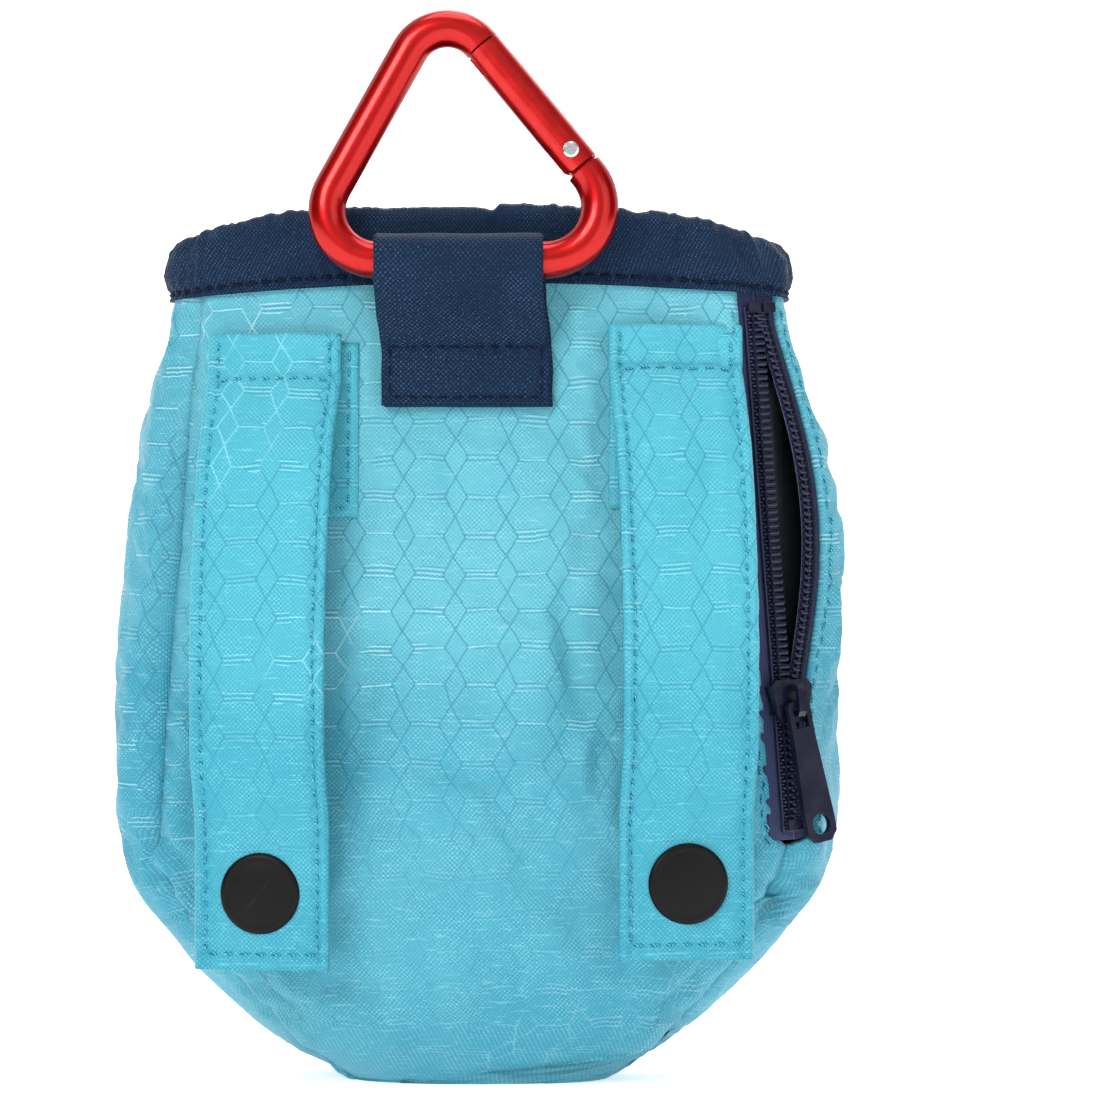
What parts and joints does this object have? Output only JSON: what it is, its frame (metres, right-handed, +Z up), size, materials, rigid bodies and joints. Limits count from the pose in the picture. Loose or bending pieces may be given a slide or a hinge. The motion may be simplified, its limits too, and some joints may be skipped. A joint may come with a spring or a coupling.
{
  "type": "dog treat pouch",
  "caption": "Gusseted fabric treat pouch with an elastic rim, snap-down belt straps, a zipped side pocket and a triangular carabiner in a fabric loop.",
  "frame": {"origin": "on the ground under the middle of the pouch's bounding box", "axes": "+Z up, +X to the right of someone looking at the back, belt side, which faces -Y"},
  "size_m": [0.1347, 0.0669, 0.2002],
  "materials": {
    "teal_fabric": "fine ripstop weave with a slight coated sheen",
    "strap_webbing": "fine ripstop weave, edge stitched",
    "navy_fabric": "matte twill",
    "lining_fabric": "smooth coated cloth",
    "elastic": "matte",
    "zip_tape": "matte woven tape",
    "zip_coil": "satin nylon",
    "zip_metal": "gloss enamel",
    "pull_enamel": "satin enamel",
    "red_anodised": "anodised, satin",
    "bare_steel": "bright",
    "black_snap": "black enamel"
  },
  "bodies": {
    "pouch": {"back_panel": "teal_fabric", "front_panel": "teal_fabric", "left_gusset": "teal_fabric", "right_gusset": "teal_fabric", "base_gusset": "teal_fabric", "inner_lining": "lining_fabric", "key_pocket": "lining_fabric", "rim_casing": "navy_fabric", "rim_elastic": "elastic", "carabiner_loop": "navy_fabric", "left_strap_patch": "strap_webbing", "left_strap_sewn_end": "strap_webbing", "left_snap_stud": "black_snap", "left_snap_post": "black_snap", "right_strap_patch": "strap_webbing", "right_strap_sewn_end": "strap_webbing", "right_snap_stud": "black_snap", "right_snap_post": "black_snap", "back_zip_tape": "zip_tape", "back_zip_coil": "zip_coil", "side_zip_tape": "zip_tape", "side_zip_coil": "zip_coil", "zip_bottom_stop": "zip_metal", "zip_top_stops": "zip_metal"},
    "left_strap": {"left_belt_strap": "strap_webbing", "left_snap_cap": "black_snap", "left_snap_socket": "black_snap"},
    "right_strap": {"right_belt_strap": "strap_webbing", "right_snap_cap": "black_snap", "right_snap_socket": "black_snap"},
    "slider": {"zip_slider": "zip_metal"},
    "pull": {"zip_pull": "pull_enamel"},
    "carabiner": {"carabiner_body": "red_anodised", "gate_rivet": "bare_steel"},
    "gate": {"carabiner_gate": "red_anodised", "gate_plunger": "bare_steel", "gate_spring": "bare_steel"}
  },
  "joints": [
    {"name": "left_strap_open", "type": "hinge", "parent": "pouch", "child": "left_strap", "pos_m": [-0.03773, -0.01867, 0.1306], "axis": [-0.9781, 0.2079, 0], "range_deg": [0, 90]},
    {"name": "right_strap_open", "type": "hinge", "parent": "pouch", "child": "right_strap", "pos_m": [0.03723, -0.01867, 0.1324], "axis": [-0.9781, -0.2079, 0], "range_deg": [0, 90]},
    {"name": "zip_slide", "type": "slide", "parent": "pouch", "child": "slider", "axis": [-0.0725, 0.0463, 0.9963], "range_m": [0, 0.0685], "deforming": ["side_zip_coil", "side_zip_tape"]},
    {"name": "pull_flip", "type": "hinge", "parent": "slider", "child": "pull", "pos_m": [0.05962, -0.01652, 0.07094], "axis": [-0.8199, -0.5454, -0.174], "range_deg": [0, 170]},
    {"name": "carabiner_swing", "type": "hinge", "parent": "pouch", "child": "carabiner", "pos_m": [-0.0024, -0.02195, 0.1534], "axis": [1, 0, 0], "range_deg": [0, 165]},
    {"name": "gate_open", "type": "hinge", "parent": "carabiner", "child": "gate", "pos_m": [0.01755, -0.0195, 0.17337], "axis": [0, -0.9925, 0.1219], "range_deg": [0, 28], "stiffness_Nm_per_rad": 0.05, "springref_deg": -5.73}
  ]
}
